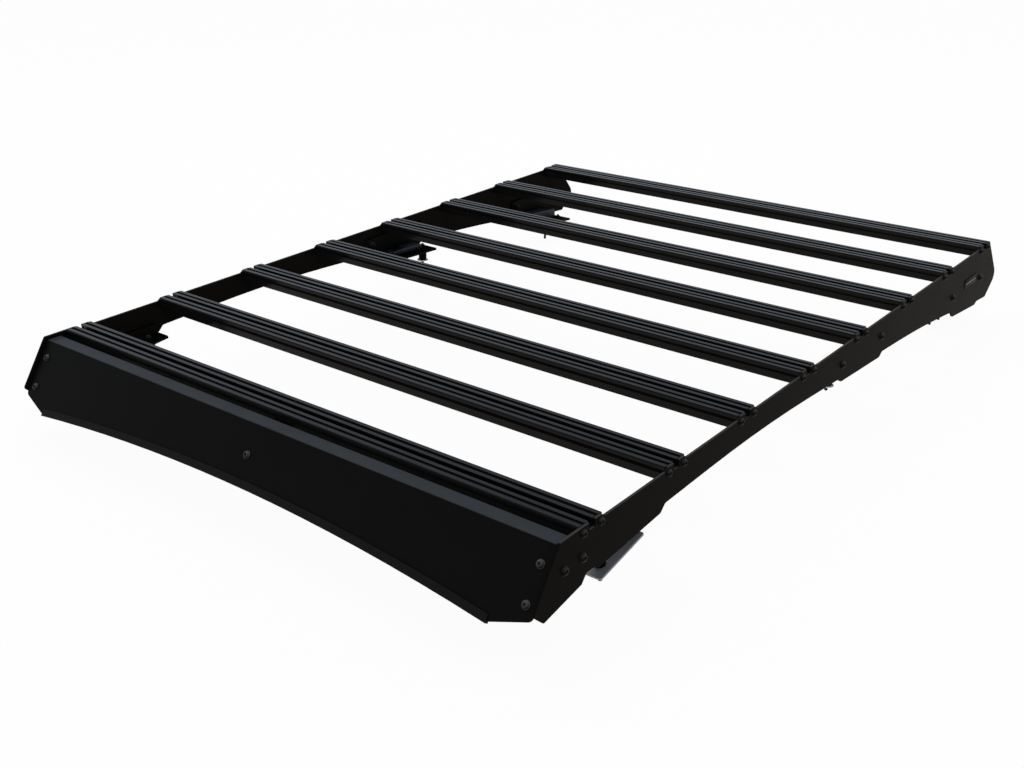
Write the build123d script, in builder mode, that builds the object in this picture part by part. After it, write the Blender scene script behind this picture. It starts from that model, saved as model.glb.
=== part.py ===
"""Flat platform roof rack: T-slot slats between two plate rails, six bracket feet and a wind deflector.

Millimetres. X runs across the rack, Y from the deflector to the rear, Z up from the lowest stud ends.
A "drop" is a depth below the slat tops, and a "run" is a distance behind the centre of the first slat.
"""
import os
from collections import namedtuple
from math import atan, cos, sin, tan

from build123d import *

# Platform
slat_count = 8
slat_pitch = 202.0
slat_length = 1134.0
rail_thickness = 4.0

# Slat section
slat_height = 21.5
slat_top_width = 49.0
slat_shoulder_width = 52.4
slat_base_width = 57.0
shoulder_drop = 1.7
side_groove_drop = 5.6
side_groove_height = 3.2
side_groove_depth = 2.4
side_step_height = 1.2
top_groove_offset = 14.5
top_groove_width = 6.4
top_groove_floor = 5.2
top_groove_depth = 2.4
slat_wall = 2.2
slat_top_wall = 4.0
slot_width = 10.0
slot_head_width = 17.0
slot_lip = 3.2
slot_head_height = 7.0
port_offset = 19.5
port_drop = 10.5
port_wall = 1.8
port_radius = 2.75

# Rail top edge
bolt_hole_radius = 4.3
screw_hole_radius = 3.3
rail_top_drop = 6.0
tab_top_drop = 1.0
tab_flat_reach = 21.5
tab_foot_reach = 29.0
notch_width = 14.0
notch_below_slot = 2.0
notch_radius = 3.0

# Rail ends: each slopes outwards on its way down and then slants back in to a low corner
rail_corner_radius = 4.0
nose_top_reach = 68.5
nose_slope = 0.685
nose_drop = 81.5
nose_radius = 5.0
nose_low_reach = 103.5
nose_low_drop = 101.0
nose_low_radius = 6.0
nose_tab_reach = 22.5
nose_tab_drop = 85.4
nose_step_reach = 12.0
tail_top_reach = 28.5
tail_slope = 0.76
tail_drop = 93.0
tail_radius = 20.0
tail_low_reach = 48.5
tail_low_drop = 130.5
tail_low_radius = 8.0
tail_step = 5.0

# Rail lower edge: a sloping tab over each foot, with shallow arches between them
tab_step = 11.0
tab_radius = 6.0
arch_radius = 3500.0
front_tab_run = 89.5
front_tab_half = 75.0
front_tab_drop = 72.5
front_tab_slope = 0.085
front_tab_rise_ahead = 6.0
front_tab_rise_behind = 11.0
front_arch_drop = 47.5
middle_tab_behind_slat = 12.0
middle_tab_half = 80.5
middle_tab_drop = 77.0
middle_tab_slope = -0.056
middle_tab_rise = 8.0
rear_arch_drop = 84.0
rear_tab_ahead_of_slat = 79.0
rear_tab_half = 65.0
rear_tab_drop = 124.5
rear_tab_slope = -0.10
rear_tab_rise = 13.5
rear_tab_lip = 2.5

# Feet: a bent bracket inside each tab, two sleeved studs under its flange, and a bar or a base plate
foot_plate = 5.0
foot_bend_radius = 4.0
foot_upstand = 16.0
flange_end_gap = 8.0
ear_height = 28.0
ear_beyond_bolt = 13.0
ear_radius = 6.0
front_flange_width = 40.0
middle_flange_width = 62.0
rear_flange_width = 79.0
front_bolts_ahead_of_slat = (59.5, 20.5)
front_bolt_drop = 46.0
middle_bolt_half = 80.5
middle_bolt_drop = 40.5
rear_bolt_half = 76.5
rear_bolt_drop = 73.0
front_stud_inset = 22.0
middle_stud_inset = 34.0
rear_stud_inset = 56.0
front_studs = (-38.0, 36.5)
middle_studs = (-50.8, 55.6)
rear_studs = (-17.0, 34.5)
front_seat_slope = 0.209
front_sleeve = 23.1
middle_sleeve = 24.1
rear_sleeve = 20.0
front_stud = 22.7
middle_stud = 8.7
rear_stud = 20.5
sleeve_radius = 9.0
stud_radius = 3.0
spigot_radius = 4.2
front_spigot = 4.5
washer_spigot = 2.0
stud_hole_clearance = 0.3
stud_above_flange = 9.0
stud_chamfer = 1.0
bar_width = 28.0
bar_ahead = 44.0
middle_bar_behind = 49.0
rear_bar_behind = 46.0
bar_round = 4.0
middle_bar_height = 10.0
rear_bar_height = 20.0
base_plate = 3.2
base_plate_ahead = 9.1
base_plate_half = 53.3
base_plate_width = 36.0
base_plate_rail_gap = 3.3
base_plate_radius = 2.5

# Wind deflector
sheet = 2.5
deflector_end_gap = 1.0
bend_run = -64.5
bend_drop = 7.5
bend_radius = 2.0
lip_width = 25.0
arch_from_end = 63.0
arch_end_depth = 123.5
arch_middle_depth = 95.6
end_depth = 101.0
end_corner_radius = 9.0
deflector_bolt_from_end = 16.0
deflector_bolt_depths = (30.3, 84.2)
middle_bolt_depth = 49.0
trim_below_edge = 2.5
trim_above_edge = 10.0
trim_thickness = 7.0
trim_slot_gap = 0.5

# Deflector brackets
bracket_plate = 4.0
bracket_flange = 26.0
bracket_above_bolt = 25.0
bracket_below_bolt = 10.0
strut_width = 40.0
strut_plate = 3.0
strut_bend_radius = 3.0
strut_margin = 14.0

# Places that follow from the sizes above
span = slat_pitch * (slat_count - 1)
inner_x = slat_length / 2
deflector_half = inner_x - deflector_end_gap
deflector_bolt_x = deflector_half - deflector_bolt_from_end
arch_half = deflector_half - arch_from_end
lean = atan(nose_slope)
trim_overhang = (trim_thickness - sheet) / 2
trim_reach = (arch_end_depth + trim_below_edge) * sin(lean) + trim_overhang * cos(lean) - bend_run
tail_reach = tail_top_reach + tail_slope * (tail_drop - tab_top_drop)
tail_rake = atan(tail_slope)
tail_return = atan((tail_reach - tail_low_reach) / (tail_low_drop - tail_drop))
tail_round_rise = tail_radius * (1 / cos(tail_return) - 1 / cos(tail_rake)) / (tail_slope + tan(tail_return))
tail_round_reach = tail_reach - tail_slope * tail_round_rise - tail_radius / cos(tail_rake)
rear_reach = tail_round_reach + tail_radius
first_slat_y = (trim_reach - span - rear_reach) / 2

foot_fields = "name run half drop slope flange bolts bolt_drop inset studs seat_slope sleeve spigot stud"
Foot = namedtuple("Foot", foot_fields)
middle_tab_run = slat_pitch * (slat_count // 2) + middle_tab_behind_slat
rear_tab_run = span - rear_tab_ahead_of_slat
front_bolts = tuple(-reach - front_tab_run for reach in front_bolts_ahead_of_slat)
front_foot = Foot(
    "front", front_tab_run, front_tab_half - flange_end_gap, front_tab_drop - foot_plate,
    front_tab_slope, front_flange_width, front_bolts, front_bolt_drop,
    front_stud_inset, front_studs, front_seat_slope, front_sleeve, front_spigot, front_stud,
)
middle_foot = Foot(
    "middle", middle_tab_run, middle_tab_half - flange_end_gap, middle_tab_drop - foot_plate,
    middle_tab_slope, middle_flange_width, (-middle_bolt_half, middle_bolt_half), middle_bolt_drop,
    middle_stud_inset, middle_studs, middle_tab_slope, middle_sleeve, washer_spigot, middle_stud,
)
rear_foot = Foot(
    "rear", rear_tab_run, rear_tab_half - flange_end_gap, rear_tab_drop - rear_tab_lip - foot_plate,
    rear_tab_slope, rear_flange_width, (-rear_bolt_half, rear_bolt_half), rear_bolt_drop,
    rear_stud_inset, rear_studs, rear_tab_slope, rear_sleeve, washer_spigot, rear_stud,
)
feet = (front_foot, middle_foot, rear_foot)


def seat_depth(foot, along):
    """Depth below the flange, square to it, at which a stud's sleeve ends on the seat."""
    return foot.sleeve - along * tan(atan(foot.seat_slope) - atan(foot.slope))


def stud_end_drop(foot):
    """Drop of the lowest rim of the foot's lower stud."""
    tilt = atan(foot.slope)
    rim = (stud_radius - stud_chamfer) * sin(abs(tilt))
    ends = []
    for along in foot.studs:
        depth = foot_plate + seat_depth(foot, along) + foot.spigot + foot.stud
        ends.append(foot.drop - along * sin(tilt) + depth * cos(tilt) + rim)
    return max(ends)


deck_z = max(stud_end_drop(foot) for foot in feet)


def side_plane(x, run=0.0):
    """Upright plane facing +X, drawn as a run and a height from the slat tops."""
    return Plane(origin=(x, first_slat_y + run, deck_z), x_dir=(0, 1, 0), z_dir=(1, 0, 0))


def foot_plane(foot):
    """Section of a right-hand foot: inwards from the rail and up from the flange's top, facing along it."""
    tilt = atan(foot.slope)
    origin = (inner_x, first_slat_y + foot.run, deck_z - foot.drop)
    return Plane(origin=origin, x_dir=(-1, 0, 0), z_dir=(0, cos(tilt), sin(tilt)))


def under_plane(foot):
    """Underside of a right-hand foot's flange: rearwards along it and inwards from the rail, facing up."""
    base = foot_plane(foot)
    return Plane(origin=base.origin - base.y_dir * foot_plate, x_dir=base.z_dir, z_dir=base.y_dir)


def seat_plane(foot):
    """Plane that a right-hand foot's sleeves end on: rearwards and inwards from the rail."""
    under = under_plane(foot)
    tilt = atan(foot.seat_slope)
    origin = under.origin - under.z_dir * foot.sleeve
    return Plane(origin=origin, x_dir=(0, cos(tilt), sin(tilt)), z_dir=(0, -sin(tilt), cos(tilt)))


def stud_places(foot):
    """Where the studs stand under the foot's flange."""
    return [(along, foot.inset) for along in foot.studs]


def deflector_plane(behind=0.0):
    """Plane of the deflector's front face, moved back: across and up the slope from the bend."""
    normal = Vector(0, -cos(lean), sin(lean))
    bend = Vector(0, first_slat_y + bend_run, deck_z - bend_drop)
    return Plane(origin=bend - normal * behind, x_dir=(1, 0, 0), z_dir=normal)


def down_slope(depth, behind):
    """Run and height of a point that far down the deflector from its bend and behind its front face."""
    run = bend_run - depth * sin(lean) + behind * cos(lean)
    return run, -bend_drop - depth * cos(lean) - behind * sin(lean)


def save(piece, name):
    """Label a finished piece and write it under its own name."""
    piece.label = name
    export_step(piece, f"parts/{name}.step")


def save_pair(piece, name):
    """Write a right-hand piece and its mirror image on the left."""
    save(piece, f"{name}_right")
    with BuildPart() as twin:
        mirror(piece, about=Plane.YZ)
    save(twin.part, f"{name}_left")


os.makedirs("parts", exist_ok=True)

# Slats: one hollow extrusion, with a T-slot between two grooved plateaus and a screw port at each side
slot_floor = slot_lip + slot_head_height
groove_low = side_groove_drop + side_groove_height
shoulder_x = slat_shoulder_width / 2
base_x = slat_base_width / 2
groove_x = shoulder_x - side_groove_depth
slat_half_outline = [
    (0, 0),
    (slat_top_width / 2, 0),
    (shoulder_x, -shoulder_drop),
    (shoulder_x, -side_groove_drop),
    (groove_x, -side_groove_drop),
    (groove_x, -groove_low),
    (base_x, -groove_low - side_step_height),
    (base_x, -slat_height),
    (0, -slat_height),
]
web_x = slot_head_width / 2 + slat_wall
upper_wall_x = groove_x - slat_wall
lower_wall_x = base_x - slat_wall
chamber_step = groove_low + side_step_height + slat_wall
chamber_floor = slat_height - slat_wall
middle_chamber_top = slot_floor + slat_wall
middle_chamber_height = chamber_floor - middle_chamber_top
from_top = (Align.CENTER, Align.MAX)
from_left = (Align.MIN, Align.CENTER)
slat_runs = [slat_pitch * index for index in range(slat_count)]
for index, run in enumerate(slat_runs):
    with BuildPart() as slat:
        with BuildSketch(side_plane(-inner_x, run)):
            with BuildLine():
                Polyline(*slat_half_outline)
                mirror(about=Plane.YZ)
            make_face()
            for side in (-1, 1):
                with BuildLine():
                    Polyline(
                        (side * web_x, -slat_top_wall),
                        (side * upper_wall_x, -slat_top_wall),
                        (side * upper_wall_x, -chamber_step),
                        (side * lower_wall_x, -chamber_step),
                        (side * lower_wall_x, -chamber_floor),
                        (side * web_x, -chamber_floor),
                        close=True,
                    )
                make_face(mode=Mode.SUBTRACT)
            with Locations((-port_offset, -port_drop), (port_offset, -port_drop)):
                Circle(port_radius + port_wall)
                Circle(port_radius, mode=Mode.SUBTRACT)
            with Locations((0, -middle_chamber_top)):
                Rectangle(slot_head_width, middle_chamber_height, align=from_top, mode=Mode.SUBTRACT)
            Rectangle(slot_width, slot_lip, align=from_top, mode=Mode.SUBTRACT)
            with Locations((0, -slot_lip)):
                Rectangle(slot_head_width, slot_head_height, align=from_top, mode=Mode.SUBTRACT)
            with Locations((-top_groove_offset, 0), (top_groove_offset, 0)):
                Polygon(
                    (-top_groove_width / 2, 0),
                    (-top_groove_floor / 2, -top_groove_depth),
                    (top_groove_floor / 2, -top_groove_depth),
                    (top_groove_width / 2, 0),
                    align=None,
                    mode=Mode.SUBTRACT,
                )
        extrude(amount=slat_length)
    save(slat.part, f"slat_{index + 1}")


# Side rails: flat plates, tabbed up to the slat tops and notched at each T-slot, arched between the feet
def tab_corners(run, half, drop, slope, rise_ahead, rise_behind):
    """Lower corners of a foot tab, from its rear step to its front step."""
    low_behind = drop - slope * half
    low_ahead = drop + slope * half
    return [
        (run + half + tab_step, rise_behind - low_behind),
        (run + half, -low_behind),
        (run - half, -low_ahead),
        (run - half - tab_step, rise_ahead - low_ahead),
    ]


rear_tab = tab_corners(
    rear_tab_run, rear_tab_half, rear_tab_drop, rear_tab_slope, rear_tab_rise, tail_step
)
middle_tab = tab_corners(
    middle_tab_run, middle_tab_half, middle_tab_drop, middle_tab_slope, middle_tab_rise, middle_tab_rise
)
front_tab = tab_corners(
    front_tab_run, front_tab_half, front_tab_drop, front_tab_slope,
    front_tab_rise_ahead, front_tab_rise_behind
)
rear_arch = ((rear_tab[-1][0] + middle_tab[0][0]) / 2, -rear_arch_drop)
front_arch = ((middle_tab[-1][0] + front_tab[0][0]) / 2, -front_arch_drop)
nose_reach = nose_top_reach + nose_slope * (nose_drop - tab_top_drop)
nose_step = (-nose_step_reach, front_tab[-1][1])
rail_corners = [
    (-nose_top_reach, -tab_top_drop),
    (span + tail_top_reach, -tab_top_drop),
    (span + tail_reach, -tail_drop),
    (span + tail_low_reach, -tail_low_drop),
    *rear_tab,
    rear_arch,
    *middle_tab,
    front_arch,
    *front_tab,
    nose_step,
    (-nose_tab_reach, -nose_tab_drop),
    (-nose_low_reach, -nose_low_drop),
    (-nose_reach, -nose_drop),
]
four_tab_radii = [tab_radius] * 4
rail_radii = [rail_corner_radius, rail_corner_radius, tail_radius, tail_low_radius]
rail_radii += [*four_tab_radii, arch_radius]
rail_radii += [*four_tab_radii, arch_radius, *four_tab_radii, tab_radius / 2, tab_radius / 2]
rail_radii += [nose_low_radius, nose_radius]
recess_half = slat_pitch / 2
recess_low_half = recess_half - tab_foot_reach
recess_high_half = recess_half - tab_flat_reach
notch_drop = slot_floor + notch_below_slot
port_places = [(run + side * port_offset, -port_drop) for run in slat_runs for side in (-1, 1)]
foot_bolt_places = [(foot.run + bolt, -foot.bolt_drop) for foot in feet for bolt in foot.bolts]
with BuildPart() as rail:
    with BuildSketch(side_plane(inner_x)):
        with BuildLine():
            FilletPolyline(*rail_corners, radius=rail_radii, close=True)
        make_face()
        with Locations(*[(run + recess_half, 0) for run in slat_runs[:-1]]):
            Polygon(
                (-recess_high_half, 0),
                (-recess_high_half, -tab_top_drop),
                (-recess_low_half, -rail_top_drop),
                (recess_low_half, -rail_top_drop),
                (recess_high_half, -tab_top_drop),
                (recess_high_half, 0),
                align=None,
                mode=Mode.SUBTRACT,
            )
        with Locations(*[(run, 0) for run in slat_runs]):
            RectangleRounded(notch_width, 2 * notch_drop, notch_radius, mode=Mode.SUBTRACT)
        with Locations(*port_places):
            Circle(screw_hole_radius, mode=Mode.SUBTRACT)
        with Locations(*foot_bolt_places):
            Circle(bolt_hole_radius, mode=Mode.SUBTRACT)
    extrude(amount=rail_thickness)
save_pair(rail.part, "side_rail")

# Foot brackets: a flange under the rail tab, turned up into a leg with an ear for the two rail bolts
for foot in feet:
    flange_run = foot.half * cos(atan(foot.slope))
    web_low = foot_upstand / 2 - foot.drop
    web_slant = foot.slope * flange_run
    ear_front = foot.bolts[0] - ear_beyond_bolt
    ear_rear = max(foot.bolts[1] + ear_beyond_bolt, 0)
    with BuildPart() as bracket:
        with BuildSketch(foot_plane(foot)):
            with BuildLine():
                FilletPolyline(
                    (0, foot_upstand),
                    (0, -foot_plate),
                    (foot.flange, -foot_plate),
                    radius=foot_bend_radius + foot_plate,
                )
                Line((foot.flange, -foot_plate), (foot.flange, 0))
                FilletPolyline(
                    (foot.flange, 0),
                    (foot_plate, 0),
                    (foot_plate, foot_upstand),
                    radius=foot_bend_radius,
                )
                Line((foot_plate, foot_upstand), (0, foot_upstand))
            make_face()
        extrude(amount=foot.half, both=True)
        with BuildSketch(side_plane(inner_x, foot.run)):
            Polygon(
                (-flange_run, web_low - web_slant),
                (flange_run, web_low + web_slant),
                (flange_run, -foot.bolt_drop),
                (-flange_run, -foot.bolt_drop),
                align=None,
            )
            with Locations((ear_front, -foot.bolt_drop)):
                RectangleRounded(ear_rear - ear_front, ear_height, ear_radius, align=from_left)
            with Locations(*[(bolt, -foot.bolt_drop) for bolt in foot.bolts]):
                Circle(bolt_hole_radius, mode=Mode.SUBTRACT)
        extrude(amount=-foot_plate)
        with BuildSketch(under_plane(foot)):
            with Locations(*stud_places(foot)):
                Circle(stud_radius + stud_hole_clearance)
        extrude(amount=foot_plate, mode=Mode.SUBTRACT)
    save_pair(bracket.part, f"{foot.name}_foot_bracket")

# Foot studs: a sleeve under the flange, cut to the seat below it, a spigot for a plate or washer, and a stud
for foot in feet:
    under = under_plane(foot)
    with BuildPart() as studs:
        with BuildSketch(under):
            with Locations(*stud_places(foot)):
                Circle(sleeve_radius)
        extrude(amount=-2 * foot.sleeve)
        split(bisect_by=seat_plane(foot), keep=Keep.TOP)
        for along, inset in stud_places(foot):
            stud_top = foot_plate + stud_above_flange
            spigot_low = -seat_depth(foot, along) - foot.spigot
            stud_low = spigot_low - foot.stud
            root = under.from_local_coords((along, inset, 0))
            with BuildSketch(Plane(origin=root, x_dir=under.y_dir, z_dir=under.x_dir)):
                Polygon(
                    (0, stud_top),
                    (stud_radius - stud_chamfer, stud_top),
                    (stud_radius, stud_top - stud_chamfer),
                    (stud_radius, 0),
                    (spigot_radius, 0),
                    (spigot_radius, spigot_low),
                    (stud_radius, spigot_low),
                    (stud_radius, stud_low + stud_chamfer),
                    (stud_radius - stud_chamfer, stud_low),
                    (0, stud_low),
                    align=None,
                )
            revolve(axis=Axis(root, under.z_dir))
    save_pair(studs.part, f"{foot.name}_foot_studs")

# Foot bars: short metal bars on the middle and rear flanges, beside the leg
bars = (
    (middle_foot, middle_bar_height, middle_bar_behind),
    (rear_foot, rear_bar_height, rear_bar_behind),
)
for foot, bar_height, bar_behind in bars:
    with BuildPart() as bar:
        with BuildSketch(foot_plane(foot).offset(-bar_ahead)):
            with Locations((foot_plate + foot_bend_radius, 0)):
                Rectangle(bar_width, bar_height, align=(Align.MIN, Align.MIN))
        extrude(amount=bar_ahead + bar_behind)
        fillet(bar.faces().sort_by(Axis.Z)[-1].edges(), bar_round)
    save_pair(bar.part, f"{foot.name}_foot_bar")

# Base plates: flat plates that the front sleeves stand on, bored square to the flanges for the studs
with BuildPart() as base_plate_part:
    with BuildSketch(seat_plane(front_foot)):
        with Locations((-base_plate_ahead, base_plate_rail_gap + base_plate_width / 2)):
            RectangleRounded(2 * base_plate_half, base_plate_width, base_plate_radius)
    extrude(amount=-base_plate)
    with BuildSketch(under_plane(front_foot)):
        with Locations(*stud_places(front_foot)):
            Circle(spigot_radius + stud_hole_clearance)
    extrude(amount=-2 * front_sleeve, mode=Mode.SUBTRACT)
save_pair(base_plate_part.part, "front_foot_base_plate")


# Wind deflector: one bent sheet, its lip level and its face leaning forward, with an arched lower edge
def draw_bent_strip(rear_run, bend, depth, thickness, radius):
    """Outline, in run and height, of a level strip that turns down along the deflector's slope."""
    bend_shift = thickness * (1 - sin(lean)) / cos(lean)
    inner_bend = (bend[0] + bend_shift, bend[1] - thickness)
    outer_end = (bend[0] - depth * sin(lean), bend[1] - depth * cos(lean))
    inner_end = (outer_end[0] + thickness * cos(lean), outer_end[1] - thickness * sin(lean))
    rear_top = (rear_run, bend[1])
    rear_low = (rear_run, bend[1] - thickness)
    FilletPolyline(rear_top, bend, outer_end, radius=radius + thickness)
    Line(outer_end, inner_end)
    FilletPolyline(inner_end, inner_bend, rear_low, radius=radius)
    Line(rear_low, rear_top)


def draw_arch(shift):
    """Arc of the lower edge on the deflector's plane, moved up the slope by a distance."""
    ends = shift - arch_end_depth
    ThreePointArc((-arch_half, ends), (0, shift - arch_middle_depth), (arch_half, ends))


with BuildPart() as deflector:
    with BuildSketch(side_plane(-deflector_half)):
        with BuildLine():
            lip_rear = bend_run + lip_width
            draw_bent_strip(lip_rear, (bend_run, -bend_drop), arch_end_depth, sheet, bend_radius)
        make_face()
    extrude(amount=2 * deflector_half)
    with BuildSketch(deflector_plane(behind=-sheet)):
        with BuildLine():
            draw_arch(0)
            FilletPolyline(
                (arch_half, -arch_end_depth),
                (deflector_half, -end_depth),
                (deflector_half, lip_width),
                (-deflector_half, lip_width),
                (-deflector_half, -end_depth),
                (-arch_half, -arch_end_depth),
                radius=end_corner_radius,
            )
        make_face()
        end_bolts = [(deflector_bolt_x, -depth) for depth in deflector_bolt_depths]
        with Locations(*end_bolts, *[(-x, y) for x, y in end_bolts], (0, -middle_bolt_depth)):
            Circle(bolt_hole_radius, mode=Mode.SUBTRACT)
    extrude(amount=-lip_width - 2 * sheet, mode=Mode.INTERSECT)
save(deflector.part, "wind_deflector")

# Edge trim: a channel of rubber pushed up over the deflector's arched edge
with BuildPart() as trim:
    with BuildSketch(deflector_plane(behind=-trim_overhang)):
        with BuildLine():
            draw_arch(-trim_below_edge)
            draw_arch(trim_above_edge)
            for side in (-1, 1):
                Line(
                    (side * arch_half, -arch_end_depth - trim_below_edge),
                    (side * arch_half, -arch_end_depth + trim_above_edge),
                )
        make_face()
    extrude(amount=-trim_thickness)
    with BuildSketch(deflector_plane()):
        with BuildLine():
            draw_arch(-trim_slot_gap)
            draw_arch(trim_above_edge)
            for side in (-1, 1):
                Line(
                    (side * arch_half, -arch_end_depth - trim_slot_gap),
                    (side * arch_half, -arch_end_depth + trim_above_edge),
                )
        make_face()
    extrude(amount=-sheet, mode=Mode.SUBTRACT)
save(trim.part, "deflector_edge_trim")

# Deflector end brackets: bent plates from the front feet's ears to the back of the deflector
bracket_x = inner_x - foot_plate
upper_depth = deflector_bolt_depths[0] - bracket_above_bolt
lower_depth = deflector_bolt_depths[1] + bracket_below_bolt
side_rear = ear_beyond_bolt - front_bolts_ahead_of_slat[1]
with BuildPart() as end_bracket:
    with BuildSketch(deflector_plane(behind=sheet)):
        with Locations((bracket_x, -upper_depth)):
            Rectangle(bracket_flange, lower_depth - upper_depth, align=(Align.MAX, Align.MAX))
        with Locations(*end_bolts):
            Circle(bolt_hole_radius, mode=Mode.SUBTRACT)
    extrude(amount=-bracket_plate)
    with BuildSketch(side_plane(bracket_x)):
        Polygon(
            down_slope(upper_depth, sheet),
            down_slope(lower_depth, sheet),
            (side_rear, -front_bolt_drop - ear_height / 2),
            (side_rear, -front_bolt_drop + ear_height / 2),
            align=None,
        )
        with Locations(*[(-reach, -front_bolt_drop) for reach in front_bolts_ahead_of_slat]):
            Circle(bolt_hole_radius, mode=Mode.SUBTRACT)
    extrude(amount=-bracket_plate)
save_pair(end_bracket.part, "deflector_bracket")

# Deflector strut: a bent strip from under the first slat to the back of the deflector's middle
strut_bend_depth = (slat_height - bend_drop - sheet * sin(lean)) / cos(lean)
strut_bend = down_slope(strut_bend_depth, sheet)
strut_depth = middle_bolt_depth + strut_margin - strut_bend_depth
with BuildPart() as strut:
    with BuildSketch(side_plane(-strut_width / 2)):
        with BuildLine():
            draw_bent_strip(base_x, strut_bend, strut_depth, strut_plate, strut_bend_radius)
        make_face()
    extrude(amount=strut_width)
    with BuildSketch(deflector_plane()):
        with Locations((0, -middle_bolt_depth)):
            Circle(bolt_hole_radius)
    extrude(amount=-2 * (sheet + strut_plate), mode=Mode.SUBTRACT)
save(strut.part, "deflector_strut")
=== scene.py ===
import math
import random

import bmesh
import bpy
from mathutils import Matrix, Vector


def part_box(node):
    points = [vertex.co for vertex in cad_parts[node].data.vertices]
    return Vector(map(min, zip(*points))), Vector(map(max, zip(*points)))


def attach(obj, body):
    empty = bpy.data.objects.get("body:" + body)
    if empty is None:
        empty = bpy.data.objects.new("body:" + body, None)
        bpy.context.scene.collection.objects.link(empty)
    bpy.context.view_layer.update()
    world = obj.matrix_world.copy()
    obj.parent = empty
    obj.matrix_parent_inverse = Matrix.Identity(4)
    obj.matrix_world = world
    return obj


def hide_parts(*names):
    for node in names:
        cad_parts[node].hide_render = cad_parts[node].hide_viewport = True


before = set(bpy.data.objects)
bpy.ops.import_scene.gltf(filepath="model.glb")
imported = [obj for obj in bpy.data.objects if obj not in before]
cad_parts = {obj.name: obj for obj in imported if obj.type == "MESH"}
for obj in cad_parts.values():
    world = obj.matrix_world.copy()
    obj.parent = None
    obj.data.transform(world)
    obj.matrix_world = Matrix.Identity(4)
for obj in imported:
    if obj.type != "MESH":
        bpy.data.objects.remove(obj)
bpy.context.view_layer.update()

# Slats: eight hollow aluminium extrusions laid across the rack, with a T-slot and grooves in the top.
# They are powder coated black, which leaves a fine skin like orange peel over the whole section.
# Two screw ports at each end take the screws that come in through the rails.


class Wire:
    """An output socket of a material. Sums and products of wires add the Math nodes that they need."""

    def __init__(self, tree, socket=None):
        self.tree = tree
        self.socket = socket

    def node(self, kind, settings, inputs, output=0):
        """Adds a node, applies its settings, sets or links its inputs, and gives a wire from one output."""
        made = self.tree.nodes.new(kind)
        for name, value in settings.items():
            setattr(made, name, value)
        for name, value in inputs.items():
            if isinstance(value, Wire):
                self.tree.links.new(value.socket, made.inputs[name])
            else:
                made.inputs[name].default_value = value
        return Wire(self.tree, made.outputs[output] if made.outputs else None)

    def maths(self, operation, first, second):
        return self.node("ShaderNodeMath", {"operation": operation}, {0: first, 1: second})

    def __add__(self, other):
        return self.maths("ADD", self, other)

    __radd__ = __add__

    def __mul__(self, other):
        return self.maths("MULTIPLY", self, other)

    __rmul__ = __mul__

    def __sub__(self, other):
        return self.maths("SUBTRACT", self, other)

    def __rsub__(self, other):
        return self.maths("SUBTRACT", other, self)


def blank_material(name):
    """A material with an empty node tree, and a wire to start its nodes from."""
    material = bpy.data.materials.new(name)
    material.use_nodes = True
    material.node_tree.nodes.clear()
    return material, Wire(material.node_tree)


def mottle(tree, scale, detail, stretch=(1, 1, 1)):
    """Noise from 0 to 1 over the rack, drawn out along an axis where its stretch is below 1."""
    place = tree.node("ShaderNodeTexCoord", {}, {}, "Object")
    drawn = tree.node("ShaderNodeMapping", {}, {"Vector": place, "Scale": stretch})
    return tree.node("ShaderNodeTexNoise", {}, {"Vector": drawn, "Scale": scale, "Detail": detail})


def between(tree, share, low, high):
    """A colour between two, each fixed or wired, by a share that changes over the surface."""
    low, high = [colour if isinstance(colour, Wire) else (*colour, 1) for colour in (low, high)]
    return tree.node("ShaderNodeMix", {"data_type": "RGBA"}, {0: share, 6: low, 7: high}, 2)


grain_depth = 0.00005


def powder_coat(name, dark, light, roughness, ior, painted_top_light, lowest=0.0):
    """Black powder coat: a clouded tone, a satin gloss that wanders, a fine peel, and a painted tone on what
    faces up from a lowest height, a painted sheen where it is paler and a painted shade where it is darker."""
    material, tree = blank_material(name)
    cloud = mottle(tree, 14, 4)
    peel = mottle(tree, 950, 2)
    raised = tree.node("ShaderNodeBump", {}, {"Strength": 0.2, "Distance": grain_depth, "Height": peel})
    facing = tree.node("ShaderNodeNewGeometry", {}, {}, "Normal")
    upward = tree.node("ShaderNodeSeparateXYZ", {}, {0: facing}, "Z")
    flat = tree.node("ShaderNodeMapRange", {}, {"Value": upward, "From Min": 0.8, "From Max": 0.98})
    place = tree.node("ShaderNodeTexCoord", {}, {}, "Object")
    height = tree.node("ShaderNodeSeparateXYZ", {}, {0: place}, "Z")
    # What faces up takes the painted top colour, paler for a painted sheen and darker for a painted shade.
    painted_top_mask = flat * tree.maths("GREATER_THAN", height, lowest)
    coat = between(tree, cloud * 0.7 + peel * 0.3, dark, light)
    skin = tree.node(
        "ShaderNodeBsdfPrincipled",
        {},
        {
            "Base Color": between(tree, painted_top_mask * (0.6 + cloud * 0.8), coat, painted_top_light),
            "Roughness": roughness - 0.05 + cloud * 0.1,
            "IOR": ior,
            "Normal": raised,
        },
    )
    tree.node("ShaderNodeOutputMaterial", {}, {"Surface": skin})
    return material


def dress(material, *names):
    """Gives CAD nodes a material."""
    for name in names:
        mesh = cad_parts[name].data
        mesh.materials.clear()
        mesh.materials.append(material)


slat_names = [f"slat_{number}" for number in range(1, 9)]
deck_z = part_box("slat_1")[1][2]
painted_top_light_reach = 0.0005
# The slat plateaus are painted a pale bluish grey, a painted sheen for the sky's reflection on their tops.
slat_coat = powder_coat(
    "slat_coat",
    dark=(0.0043, 0.0043, 0.0043),
    light=(0.0061, 0.0061, 0.0061),
    roughness=0.16,
    ior=1.18,
    painted_top_light=(0.0165, 0.0182, 0.0210),
    lowest=deck_z - painted_top_light_reach,
)
dress(slat_coat, *slat_names)
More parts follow.
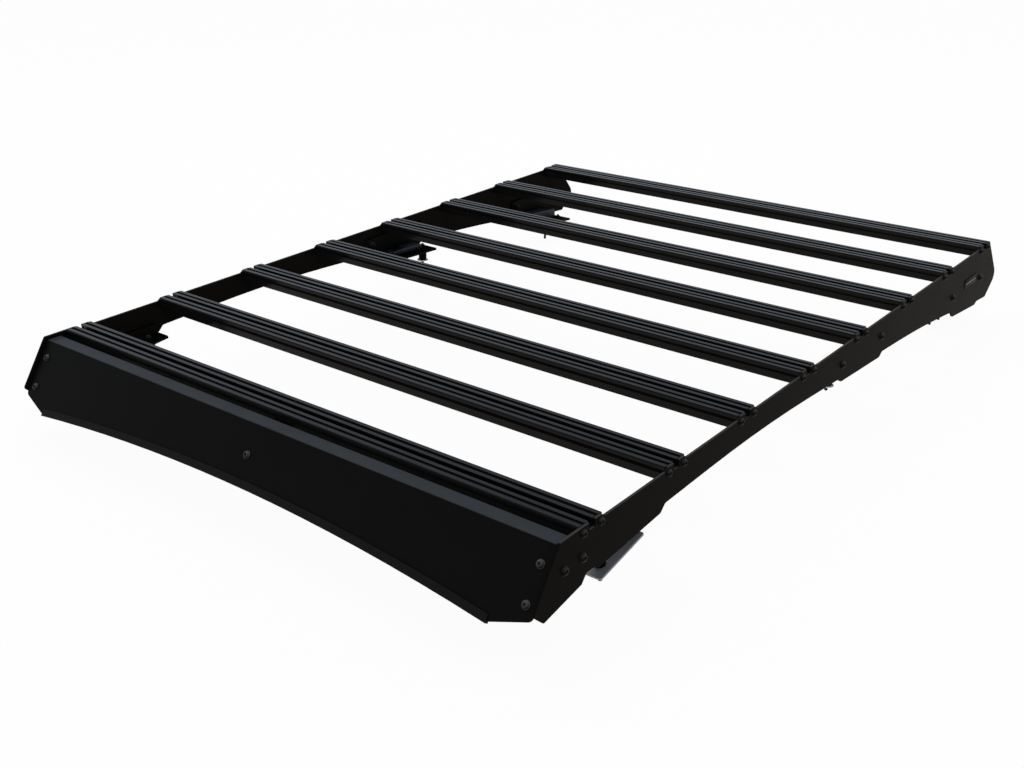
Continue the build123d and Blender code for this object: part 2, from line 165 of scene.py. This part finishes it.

# Side rails: laser-cut aluminium plates along both sides, tabbed up to the slats and notched at each slot.
# They have the same black coat, a little warmer in tone, over the cut edges too.
# The slats are drawn tight between them by their end screws.
# Their upward faces, the top edges and tab tops, are painted paler, a painted highlight along the tops.
rail_coat = powder_coat(
    "rail_coat",
    dark=(0.0042, 0.0038, 0.0033),
    light=(0.0056, 0.0051, 0.0045),
    roughness=0.34,
    ior=1.05,
    painted_top_light=(0.045, 0.045, 0.045),
)
dress(rail_coat, "side_rail_left", "side_rail_right")

# Slat screws: black button-head socket screws, two through the rail into the ports of each slat end.
# Each is one turned head with a hexagon socket, seated on the rail's outer face.
port_offset = 0.0195
port_drop = 0.0105
socket_radius = 0.0025
socket_floor = 0.0014
socket_edge = 0.0038
crown_flat = 0.0031
crown_radius = 0.0056
crown_height = 0.0043
flange_radius = 0.0070
flange_height = 0.0015
flange_edge = 0.0008
slat_screw_size = 0.9
most_turn = 1.05
turn = random.Random(21)


def rounded(inner, outer, top, bottom, steps):
    """Rings of a rounded shoulder, from an inner radius at the top out and down to an outer one."""
    angles = [math.radians(90 * step / steps) for step in range(steps + 1)]
    reach = outer - inner
    rise = top - bottom
    return [(inner + reach * math.sin(angle), bottom + rise * math.cos(angle), False) for angle in angles]


head_rings = [
    (socket_radius, socket_floor, True),
    (socket_radius, socket_edge, True),
    *rounded(crown_flat, crown_radius, crown_height, flange_height, 5),
    *rounded(crown_radius, flange_radius, flange_height, flange_edge, 3)[1:],
    (flange_radius, 0.0, False),
]


def turned(mesh, rings, place, size=1.0, hollow=False, sides=24):
    """A turned piece along a place's Z: rings of radius and height, hexagonal where marked, all times a size.
    It is closed at both ends or, if hollow, from the last ring back to the first."""

    def shape(verts, radius, height, hexagonal):
        for vert in verts:
            angle = math.atan2(vert.co.y, vert.co.x)
            flat = math.radians(60)
            reach = radius / math.cos(angle % flat - flat / 2) if hexagonal else radius
            vert.co = (reach * math.cos(angle), reach * math.sin(angle), height)

    first = bmesh.ops.create_circle(mesh, cap_ends=not hollow, radius=rings[0][0], segments=sides)["verts"]
    first_edges = list({edge for vert in first for edge in vert.link_edges})
    shape(first, *rings[0])
    grown = list(first)
    edges = first_edges
    for ring in rings[1:]:
        geometry = bmesh.ops.extrude_edge_only(mesh, edges=edges)["geom"]
        verts = [part for part in geometry if isinstance(part, bmesh.types.BMVert)]
        fresh = set(verts)
        lines = [part for part in geometry if isinstance(part, bmesh.types.BMEdge)]
        edges = [line for line in lines if set(line.verts) <= fresh]
        shape(verts, *ring)
        grown += verts
    if hollow:
        bmesh.ops.bridge_loops(mesh, edges=first_edges + edges)
    else:
        bmesh.ops.edgeloop_fill(mesh, edges=edges)
    bmesh.ops.transform(mesh, matrix=place @ Matrix.Scale(size, 4), verts=grown)
    return grown


def standing(point, out, angle=0.0):
    """Place of a turned piece that stands on a point and points outwards."""
    turned_out = Vector(out).to_track_quat("Z", "Y").to_matrix().to_4x4()
    return Matrix.Translation(Vector(point)) @ turned_out @ Matrix.Rotation(angle, 4, "Z")


def finished(name, mesh, material, crease=32):
    """Turns a bmesh into a piece that rides on the rack, smooth up to a crease angle in degrees."""
    bmesh.ops.recalc_face_normals(mesh, faces=mesh.faces)
    data = bpy.data.meshes.new(name)
    mesh.to_mesh(data)
    mesh.free()
    data.shade_smooth()
    data.set_sharp_from_angle(angle=math.radians(crease))
    data.materials.append(material)
    piece = bpy.data.objects.new(name, data)
    bpy.context.collection.objects.link(piece)
    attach(piece, "root")
    return piece


def plated(name, dark, light, roughness, metal, ior=1.45, top=None):
    """Plated metal or plastic: a tone and a gloss that wander in fine grain, with a painted highlight, paler
    on what faces up, where told.
    """
    material, tree = blank_material(name)
    grain = mottle(tree, 420, 3)
    blotch = mottle(tree, 60, 3)
    raised = tree.node("ShaderNodeBump", {}, {"Strength": 0.15, "Distance": grain_depth, "Height": grain})
    tone = between(tree, blotch * 0.6 + grain * 0.4, dark, light)
    # What faces up is mixed towards the top colour, a painted highlight from above.
    if top:
        facing = tree.node("ShaderNodeNewGeometry", {}, {}, "Normal")
        upward = tree.node("ShaderNodeSeparateXYZ", {}, {0: facing}, "Z")
        share = tree.node("ShaderNodeMapRange", {}, {"Value": upward, "From Min": 0.1, "From Max": 0.8})
        tone = between(tree, share, tone, top)
    skin = tree.node(
        "ShaderNodeBsdfPrincipled",
        {},
        {
            "Base Color": tone,
            "Metallic": metal,
            "Roughness": roughness - 0.08 + blotch * 0.16,
            "IOR": ior,
            "Normal": raised,
        },
    )
    tree.node("ShaderNodeOutputMaterial", {}, {"Surface": skin})
    return material


# What faces up on the nuts, washers and thread ends is painted paler, a painted highlight.
black_plating = plated(
    "black_plating",
    dark=(0.0010, 0.0010, 0.0011),
    light=(0.0024, 0.0024, 0.0025),
    roughness=0.26,
    metal=0.0,
    ior=1.1,
    top=(0.024, 0.025, 0.026),
)
# The upper flanks of the heads are painted paler, a painted highlight from above.
head_plating = plated(
    "head_plating",
    dark=(0.0010, 0.0010, 0.0011),
    light=(0.0025, 0.0025, 0.0026),
    roughness=0.24,
    metal=0.0,
    ior=1.13,
    top=(0.038, 0.038, 0.038),
)
rail_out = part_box("side_rail_right")[1][0]
slat_places = [(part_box(name)[0][1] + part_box(name)[1][1]) / 2 for name in slat_names]
for side, outwards in (("left", -1), ("right", 1)):
    screws = bmesh.new()
    for slat_y in slat_places:
        for offset in (-port_offset, port_offset):
            seat = (outwards * rail_out, slat_y + offset, deck_z - port_drop)
            place = standing(seat, (outwards, 0, 0), turn.uniform(0, most_turn))
            turned(screws, head_rings, place, slat_screw_size)
    finished(f"slat_screws_{side}", screws, head_plating)

# Foot brackets: plates bent into a flange under each rail tab and a leg up the rail's inner face.
# They are steel with the rack's black coat, and what faces up is painted darker, a painted shade from the
# deck above.
bracket_coat = powder_coat(
    "bracket_coat",
    dark=(0.0046, 0.0044, 0.0041),
    light=(0.0064, 0.0061, 0.0057),
    roughness=0.36,
    ior=1.06,
    painted_top_light=(0.001, 0.001, 0.0011),
)
feet = ("front", "middle", "rear")
dress(bracket_coat, *[f"{foot}_foot_bracket_{side}" for foot in feet for side in ("left", "right")])

# Rail bolts: two black button-head bolts through the rail and the leg of each foot bracket.
# Each has a washer and a hexagon nut on the inside, with a little thread standing out of the nut.
# The front pair also passes through the side of the deflector's end bracket.
rail_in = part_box("side_rail_right")[0][0]
leg_thickness = 0.005
end_bracket_thickness = 0.004
rail_bolt_layouts = [
    dict(runs=(-0.0595, -0.0205), drop=0.046, stack=leg_thickness + end_bracket_thickness),
    dict(runs=(0.7395, 0.9005), drop=0.0405, stack=leg_thickness),
    dict(runs=(1.2585, 1.4115), drop=0.073, stack=leg_thickness),
]
washer_bore = 0.0042
washer_radius = 0.0080
washer_thickness = 0.0016
washer_ease = 0.0002
nut_half = 0.0065
nut_height = 0.0065
nut_ease = 0.0004
thread_radius = 0.0040
thread_root = 0.0034
thread_end = 0.0031
thread_pitch = 0.00125
thread_above_seat = 0.0105
crest_share = 0.5
root_share = 0.95


def washer_rings(bore, radius, thickness, ease):
    """Rings of a flat washer that lies on its seat, with its outer rim eased above and below."""
    return [
        (bore, 0.0, False),
        (radius - ease, 0.0, False),
        (radius, ease, False),
        (radius, thickness - ease, False),
        (radius - ease, thickness, False),
        (bore, thickness, False),
    ]


def nut_rings(low, high):
    """Rings of a hexagon nut between two heights, round where its corners are turned off at both faces."""
    return [
        (thread_radius, low, False),
        (nut_half - nut_ease, low, False),
        (nut_half, low + nut_ease, True),
        (nut_half, high - nut_ease, True),
        (nut_half - nut_ease, high, False),
        (thread_radius + nut_ease, high, False),
        (thread_radius, high - nut_ease, False),
    ]


def thread_rings(low, high):
    """Rings of an M8 rod between two heights, with V-shaped grooves for its thread and chamfered ends."""
    turns = max(1, round((high - low) / thread_pitch))
    rise = (high - low) / turns
    rings = [(thread_end, low, False)]
    for number in range(turns):
        start = low + number * rise
        rings.append((thread_radius, start + rise * crest_share, False))
        rings.append((thread_root, start + rise * root_share, False))
    rings.append((thread_end, high, False))
    return rings


def nut_and_washer(mesh, seat, out, size):
    """A washer and a nut on a seat, with the end of the bolt's thread standing out of the nut."""
    place = standing(seat, out, turn.uniform(0, most_turn))
    washer = washer_rings(washer_bore, washer_radius, washer_thickness, washer_ease)
    turned(mesh, washer, place, size, hollow=True)
    turned(mesh, nut_rings(washer_thickness, washer_thickness + nut_height), place, size, hollow=True)
    turned(mesh, thread_rings(0.0, thread_above_seat), place, size)


for side, outwards in (("left", -1), ("right", 1)):
    bolts = bmesh.new()
    nuts = bmesh.new()
    for layout in rail_bolt_layouts:
        bolt_z = deck_z - layout["drop"]
        for run in layout["runs"]:
            bolt_y = slat_places[0] + run
            head = (outwards * rail_out, bolt_y, bolt_z)
            turned(bolts, head_rings, standing(head, (outwards, 0, 0), turn.uniform(0, most_turn)))
            inside = (outwards * (rail_in - layout["stack"]), bolt_y, bolt_z)
            nut_and_washer(nuts, inside, (-outwards, 0, 0), 1.0)
    finished(f"rail_bolts_{side}", bolts, head_plating)
    finished(f"rail_bolt_nuts_{side}", nuts, black_plating)

# Foot studs: M6 threaded rods, square to each flange and nutted on top of it, in black spacer sleeves below.
# The front sleeves are cut at a slant, so that the base plate under them follows the roof.
# The middle ones stand on pale nylon washers and the rear ones on steel ones.
flange_thickness = 0.005
stud_above_flange = 0.009
stud_size = 0.75
sleeve_radius = 0.009
sleeve_bore = 0.0033
sleeve_spare = 0.004
seat_washer_thickness = 0.002
seat_washer_ease = 0.0004
stud_layouts = {
    "front": dict(
        run=0.0895, drop=0.0675, slope=0.085, seat_slope=0.209, inset=0.022,
        along=(-0.038, 0.0365), sleeve=0.0231, stud=0.0272, washer=0.0,
    ),
    "middle": dict(
        run=0.820, drop=0.072, slope=-0.056, seat_slope=-0.056, inset=0.034,
        along=(-0.0508, 0.0556), sleeve=0.0241, stud=0.0107, washer=0.0128,
    ),
    "rear": dict(
        run=1.335, drop=0.117, slope=-0.10, seat_slope=-0.10, inset=0.056,
        along=(-0.017, 0.0345), sleeve=0.020, stud=0.0225, washer=0.0105,
    ),
}
steel_plating = plated(
    "steel_plating",
    dark=(0.10, 0.105, 0.11),
    light=(0.15, 0.155, 0.16),
    roughness=0.4,
    metal=1.0,
)
nylon = plated(
    "nylon",
    dark=(0.78, 0.79, 0.80),
    light=(0.84, 0.85, 0.86),
    roughness=0.5,
    metal=0.0,
    ior=1.4,
)
for foot, layout in stud_layouts.items():
    flange_tilt = math.atan(layout["slope"])
    seat_tilt = math.atan(layout["seat_slope"])
    flange_up = Vector((0, -math.sin(flange_tilt), math.cos(flange_tilt)))
    flange_along = Vector((0, math.cos(flange_tilt), math.sin(flange_tilt)))
    seat_up = Vector((0, -math.sin(seat_tilt), math.cos(seat_tilt)))
    for side, outwards in (("left", -1), ("right", 1)):
        flange_top = Vector((outwards * rail_in, slat_places[0] + layout["run"], deck_z - layout["drop"]))
        inset = Vector((outwards * layout["inset"], 0, 0))
        seat = flange_top - flange_up * (flange_thickness + layout["sleeve"]) - inset
        rods = bmesh.new()
        fixings = bmesh.new()
        washers = bmesh.new()
        for along in layout["along"]:
            point = flange_top + flange_along * along - inset
            place = standing(point, flange_up)
            seat_low = (point - seat).dot(seat_up) / flange_up.dot(seat_up)
            low = -seat_low - layout["stud"]
            rod = thread_rings(low / stud_size, stud_above_flange / stud_size)
            turned(rods, rod, place, stud_size)
            sleeve_rings = [
                (sleeve_bore, -flange_thickness, False),
                (sleeve_radius, -flange_thickness, False),
                (sleeve_radius, -seat_low - sleeve_spare, False),
                (sleeve_bore, -seat_low - sleeve_spare, False),
            ]
            sleeve = turned(rods, sleeve_rings, place, hollow=True, sides=32)
            faces = {face for vert in sleeve for face in vert.link_faces}
            edges = {edge for vert in sleeve for edge in vert.link_edges}
            cut = bmesh.ops.bisect_plane(
                rods, geom=[*sleeve, *edges, *faces], plane_co=seat, plane_no=seat_up, clear_inner=True
            )
            rim = [part for part in cut["geom_cut"] if isinstance(part, bmesh.types.BMEdge)]
            bmesh.ops.bridge_loops(rods, edges=rim)
            nut_and_washer(fixings, point, flange_up, stud_size)
            if layout["washer"]:
                under = standing(point - flange_up * seat_low, -flange_up)
                washer = washer_rings(sleeve_bore, layout["washer"], seat_washer_thickness, seat_washer_ease)
                turned(washers, washer, under, hollow=True, sides=32)
        studs = finished(f"{foot}_threaded_studs_{side}", rods, black_plating)
        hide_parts(f"{foot}_foot_studs_{side}")
        finished(f"{foot}_stud_nuts_{side}", fixings, black_plating)
        if foot == "front":
            washers.free()
        else:
            washer_skin = nylon if foot == "middle" else steel_plating
            finished(f"{foot}_stud_washers_{side}", washers, washer_skin)

# Foot bars and base plates: bare metal blocks on the middle and rear flanges, plates under the front feet.
# They are cut from drawn stock, so their fine scratches run along the rack.


def drawn_metal(name, dark, light, roughness, metal, edge):
    """Drawn metal: fine scratches along Y, over a slow change of tone, with a tint for glancing light."""
    material, tree = blank_material(name)
    scratch = mottle(tree, 700, 3, stretch=(1, 0.02, 1))
    blotch = mottle(tree, 25, 3)
    raised = tree.node("ShaderNodeBump", {}, {"Strength": 0.2, "Distance": grain_depth, "Height": scratch})
    skin = tree.node(
        "ShaderNodeBsdfPrincipled",
        {},
        {
            "Base Color": between(tree, scratch * 0.6 + blotch * 0.4, dark, light),
            "Metallic": metal,
            "Roughness": roughness - 0.1 + scratch * 0.2,
            "Specular Tint": (*edge, 1),
            "Normal": raised,
        },
    )
    tree.node("ShaderNodeOutputMaterial", {}, {"Surface": skin})
    return material


plate_metal = drawn_metal(
    "plate_metal",
    dark=(0.20, 0.21, 0.235),
    light=(0.28, 0.30, 0.335),
    roughness=0.5,
    metal=0.3,
    edge=(0.8, 0.8, 0.8),
)
# The bars are painted far darker than the plates, a painted shade for where they sit under the slats.
bar_metal_painted_shade = drawn_metal(
    "bar_metal_painted_shade",
    dark=(0.034, 0.037, 0.043),
    light=(0.056, 0.061, 0.071),
    roughness=0.45,
    metal=1.0,
    edge=(0.5, 0.5, 0.5),
)
dress(plate_metal, "front_foot_base_plate_left", "front_foot_base_plate_right")
dress(bar_metal_painted_shade, *[f"{foot}_foot_bar_{side}" for foot in ("middle", "rear") for side in ("left", "right")])

# Wind deflector: one bent aluminium sheet across the front, its face leaning forward and its lip level.
# It has the rack's black coat, with a pale bluish painted sheen on the lip, for the sky's reflection.
deflector_coat = powder_coat(
    "deflector_coat",
    dark=(0.0042, 0.0041, 0.0040),
    light=(0.0058, 0.0057, 0.0056),
    roughness=0.34,
    ior=1.085,
    painted_top_light=(0.035, 0.039, 0.046),
)
dress(deflector_coat, "wind_deflector")

# Deflector brackets and strut: bent black plates behind the deflector, at its ends and its middle.
# The end ones are clamped by the front feet's rail bolts, and the strut runs back under the first slat.
dress(bracket_coat, "deflector_bracket_left", "deflector_bracket_right", "deflector_strut")

# Deflector bolts: black button-head bolts, two at each end and one in the middle, with nuts behind.
# They stand square to the sloping face.
face_slope = 0.685
bend_reach = 0.0645
bend_drop = 0.0075
lean = math.atan(face_slope)
bend = Vector((0, slat_places[0] - bend_reach, deck_z - bend_drop))
face_out = Vector((0, -math.cos(lean), math.sin(lean)))
face_down = Vector((0, -math.sin(lean), -math.cos(lean)))
sheet_thickness = 0.0025
deflector_bolt_size = 0.95
strut_thickness = 0.003
end_bolt_x = 0.550
end_bolt_depths = (0.0303, 0.0842)
middle_bolt_depth = 0.049
deflector_bolts = [
    *[(-end_bolt_x, depth, end_bracket_thickness) for depth in end_bolt_depths],
    *[(end_bolt_x, depth, end_bracket_thickness) for depth in end_bolt_depths],
    (0.0, middle_bolt_depth, strut_thickness),
]
bolts = bmesh.new()
nuts = bmesh.new()
for bolt_x, depth, plate in deflector_bolts:
    seat = bend + face_down * depth + Vector((bolt_x, 0, 0))
    turned(bolts, head_rings, standing(seat, face_out, turn.uniform(0, most_turn)), deflector_bolt_size)
    nut_and_washer(nuts, seat - face_out * (sheet_thickness + plate), -face_out, 1.0)
# Their heads are painted paler on what faces up, a painted highlight over most of each head on the sloping
# face.
bolt_plating = plated(
    "bolt_plating",
    dark=(0.0010, 0.0010, 0.0011),
    light=(0.0025, 0.0025, 0.0026),
    roughness=0.24,
    metal=0.0,
    ior=1.2,
    top=(0.07, 0.07, 0.07),
)
finished("deflector_bolts", bolts, bolt_plating)
finished("deflector_bolt_nuts", nuts, black_plating)

# Edge trim: a channel of black rubber pushed over the deflector's arched lower edge.
# It is moulded, matt, and a little paler than the coat.
pore_depth = 0.00008
rubber, tree = blank_material("rubber")
bloom = mottle(tree, 30, 4)
pores = mottle(tree, 1500, 2)
dimples = tree.node("ShaderNodeBump", {}, {"Strength": 0.3, "Distance": pore_depth, "Height": pores})
rubber_skin = tree.node(
    "ShaderNodeBsdfPrincipled",
    {},
    {
        "Base Color": between(tree, bloom, (0.0035, 0.0035, 0.0036), (0.0055, 0.0055, 0.0057)),
        "Roughness": 0.55 + bloom * 0.15,
        "IOR": 1.19,
        "Normal": dimples,
    },
)
tree.node("ShaderNodeOutputMaterial", {}, {"Surface": rubber_skin})
dress(rubber, "deflector_edge_trim")

# Rail plate: a small plain plate with rounded corners, fixed flat to the rear of the right rail.
# It is moulded in dark grey plastic, with a narrow bright strip let in along its middle.
plate_run = 1.351
plate_drop = 0.0635
plate_length = 0.064
plate_height = 0.019
plate_thickness = 0.0011
plate_corner = 0.003
plate_rim = 0.0004
strip_length = 0.056
strip_height = 0.002
strip_thickness = 0.0004
strip_corner = 0.0004
strip_rim = 0.0001
plate_middle = Vector((rail_out, slat_places[0] + plate_run, deck_z - plate_drop))


def flat_bar(low, length, height, thickness, corner, rim):
    """A flat bar at a height over the right rail, with rounded corners and an eased outer rim."""
    bar = bmesh.new()
    middle = Matrix.Translation(plate_middle + Vector((low + thickness / 2, 0, 0)))
    bmesh.ops.create_cube(bar, size=1, matrix=middle @ Matrix.Diagonal((thickness, length, height, 1)))
    eased = dict(offset_type="OFFSET", affect="EDGES", profile=0.5, material=-1)
    outward = [edge for edge in bar.edges if abs((edge.verts[0].co - edge.verts[1].co).x) > thickness / 2]
    bmesh.ops.bevel(bar, geom=outward, offset=corner, segments=5, **eased)
    face = max(bar.faces, key=lambda candidate: candidate.calc_center_median().x)
    bmesh.ops.bevel(bar, geom=list(face.edges), offset=rim, segments=3, **eased)
    return bar


plate_grey = plated(
    "plate_grey",
    dark=(0.004, 0.0038, 0.0036),
    light=(0.006, 0.0058, 0.0056),
    roughness=0.4,
    metal=0.0,
    ior=1.075,
)
rail_plate = flat_bar(0.0, plate_length, plate_height, plate_thickness, plate_corner, plate_rim)
finished("rail_plate", rail_plate, plate_grey)
strip = flat_bar(plate_thickness, strip_length, strip_height, strip_thickness, strip_corner, strip_rim)
finished("rail_plate_strip", strip, steel_plating)

# Floor: a plain matt white sweep under the rack.
# It is pale to the camera, and keeps a little of the rack's soft shadow.
floor_half = 9.0
floor_tone = (0.93, 0.93, 0.93, 1)
floor_glow = 0.95
glossy_glow = (1, 0.92, 0.84)
floor_mesh = bmesh.new()
bmesh.ops.create_grid(floor_mesh, x_segments=4, y_segments=4, size=floor_half)
floor_data = bpy.data.meshes.new("floor")
floor_mesh.to_mesh(floor_data)
floor_mesh.free()
floor = bpy.data.objects.new("floor", floor_data)
bpy.context.collection.objects.link(floor)
floor_white, tree = blank_material("floor_white")


def white_rays(tree):
    """One for rays that come from the camera, off metal or through glass, and nought for those that light."""
    seen = tree.node("ShaderNodeLightPath", {}, {}, "Is Camera Ray")
    mirrored = tree.node("ShaderNodeLightPath", {}, {}, "Is Glossy Ray")
    through = tree.node("ShaderNodeLightPath", {}, {}, "Is Transmission Ray")
    return tree.maths("MAXIMUM", tree.maths("MAXIMUM", seen, mirrored), through)


matt = tree.node("ShaderNodeBsdfDiffuse", {}, {"Color": floor_tone})
mirrored = tree.node("ShaderNodeLightPath", {}, {}, "Is Glossy Ray")
glow_colour = between(tree, mirrored, (1, 1, 1), glossy_glow)
glow = tree.node("ShaderNodeEmission", {}, {"Color": glow_colour, "Strength": 1.0})
mixed = tree.node("ShaderNodeMixShader", {}, {0: white_rays(tree) * floor_glow, 1: matt, 2: glow})
tree.node("ShaderNodeOutputMaterial", {}, {"Surface": mixed})
floor_data.materials.append(floor_white)

# Light: a studio with white walls under a greyer ceiling, which show in the coats as reflections.
# One broad soft lamp hangs high on the left, to the rear.
wall_top = 0.33
ceiling_edge = 0.5
wall_glow = 1.0
ceiling_glow = 0.5
room_glow = 0.75
tint_height = 0.25
ceiling_tint = (0.84, 0.91, 1)
lamp_place = Vector((-1.2, 0.9, 3.4))
world = bpy.data.worlds.new("studio")
world.use_nodes = True
world.node_tree.nodes.clear()
bpy.context.scene.world = world
tree = Wire(world.node_tree)
direction = tree.node("ShaderNodeTexCoord", {}, {}, "Generated")
height = tree.node("ShaderNodeSeparateXYZ", {}, {0: direction}, "Z")
walls = {
    "Value": height,
    "From Min": wall_top,
    "From Max": ceiling_edge,
    "To Min": wall_glow,
    "To Max": ceiling_glow,
}
shown = tree.node("ShaderNodeMapRange", {}, walls)
white = white_rays(tree)
seen = tree.node("ShaderNodeLightPath", {}, {}, "Is Camera Ray")
mirrored = tree.node("ShaderNodeLightPath", {}, {}, "Is Glossy Ray")
strength = room_glow + white * (shown - room_glow) + seen * (1 - shown)
higher = tree.node("ShaderNodeMapRange", {}, {"Value": height, "From Min": 0.0, "From Max": tint_height})
colour = between(tree, mirrored * higher, (1, 1, 1), ceiling_tint)
studio = tree.node("ShaderNodeBackground", {}, {"Color": colour, "Strength": strength})
tree.node("ShaderNodeOutputWorld", {}, {"Surface": studio})
lamp = bpy.data.lights.new("soft_lamp", "AREA")
lamp.shape = "RECTANGLE"
lamp.size = 2.6
lamp.size_y = 1.8
lamp.energy = 28
lamp_object = bpy.data.objects.new("soft_lamp", lamp)
lamp_object.location = lamp_place
lamp_object.rotation_euler = (-lamp_place).to_track_quat("-Z", "Y").to_euler()
bpy.context.collection.objects.link(lamp_object)

# Camera: in front of the rack, to its right and above it.
# Its place, turn and lens were solved from the photograph's straight edges and evenly spaced slots.
camera_place = (1.349132, -1.794505, 0.970317)
camera_turn = (65.72484, 0.92002, 38.80311)
camera = bpy.data.cameras.new("camera")
camera.sensor_fit = "HORIZONTAL"
camera.sensor_width = 36.0
camera.lens = 43.1135
camera_object = bpy.data.objects.new("camera", camera)
camera_object.location = camera_place
camera_object.rotation_euler = [math.radians(angle) for angle in camera_turn]
bpy.context.collection.objects.link(camera_object)
bpy.context.scene.camera = camera_object
bpy.context.scene.view_settings.view_transform = "Standard"
